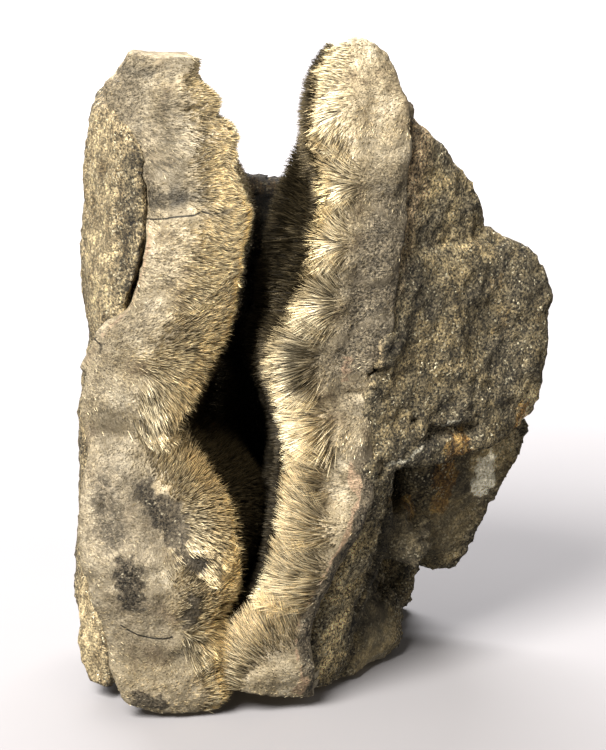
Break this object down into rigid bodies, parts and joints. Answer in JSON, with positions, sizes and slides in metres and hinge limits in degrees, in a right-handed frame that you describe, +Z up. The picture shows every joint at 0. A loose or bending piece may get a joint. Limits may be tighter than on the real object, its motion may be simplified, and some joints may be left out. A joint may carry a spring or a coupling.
{
  "type": "millerite specimen",
  "caption": "Rock fragment split by an open cleft, whose walls are thick crusts of brassy radiating millerite with free needles, standing on its broken base",
  "frame": {"origin": "middle of the bounding box on the surface that the specimen stands on", "axes": "+Z up, +X to the right along the broken front, +Y back from the front into the rock"},
  "size_m": [0.0554, 0.046, 0.0777],
  "materials": {
    "host_rock": "rough, granular, with sparkling sulphide grains",
    "left_millerite": "broken, compact and fibrous, tarnished brass",
    "right_millerite": "broken, compact and fibrous, bright to tarnished brass",
    "needles": "velvet of hair-fine metallic needles"
  },
  "bodies": {
    "root": {"host_rock": "host_rock", "left_millerite": "left_millerite", "right_millerite": "right_millerite", "needle_lining": "needles"}
  },
  "joints": []
}
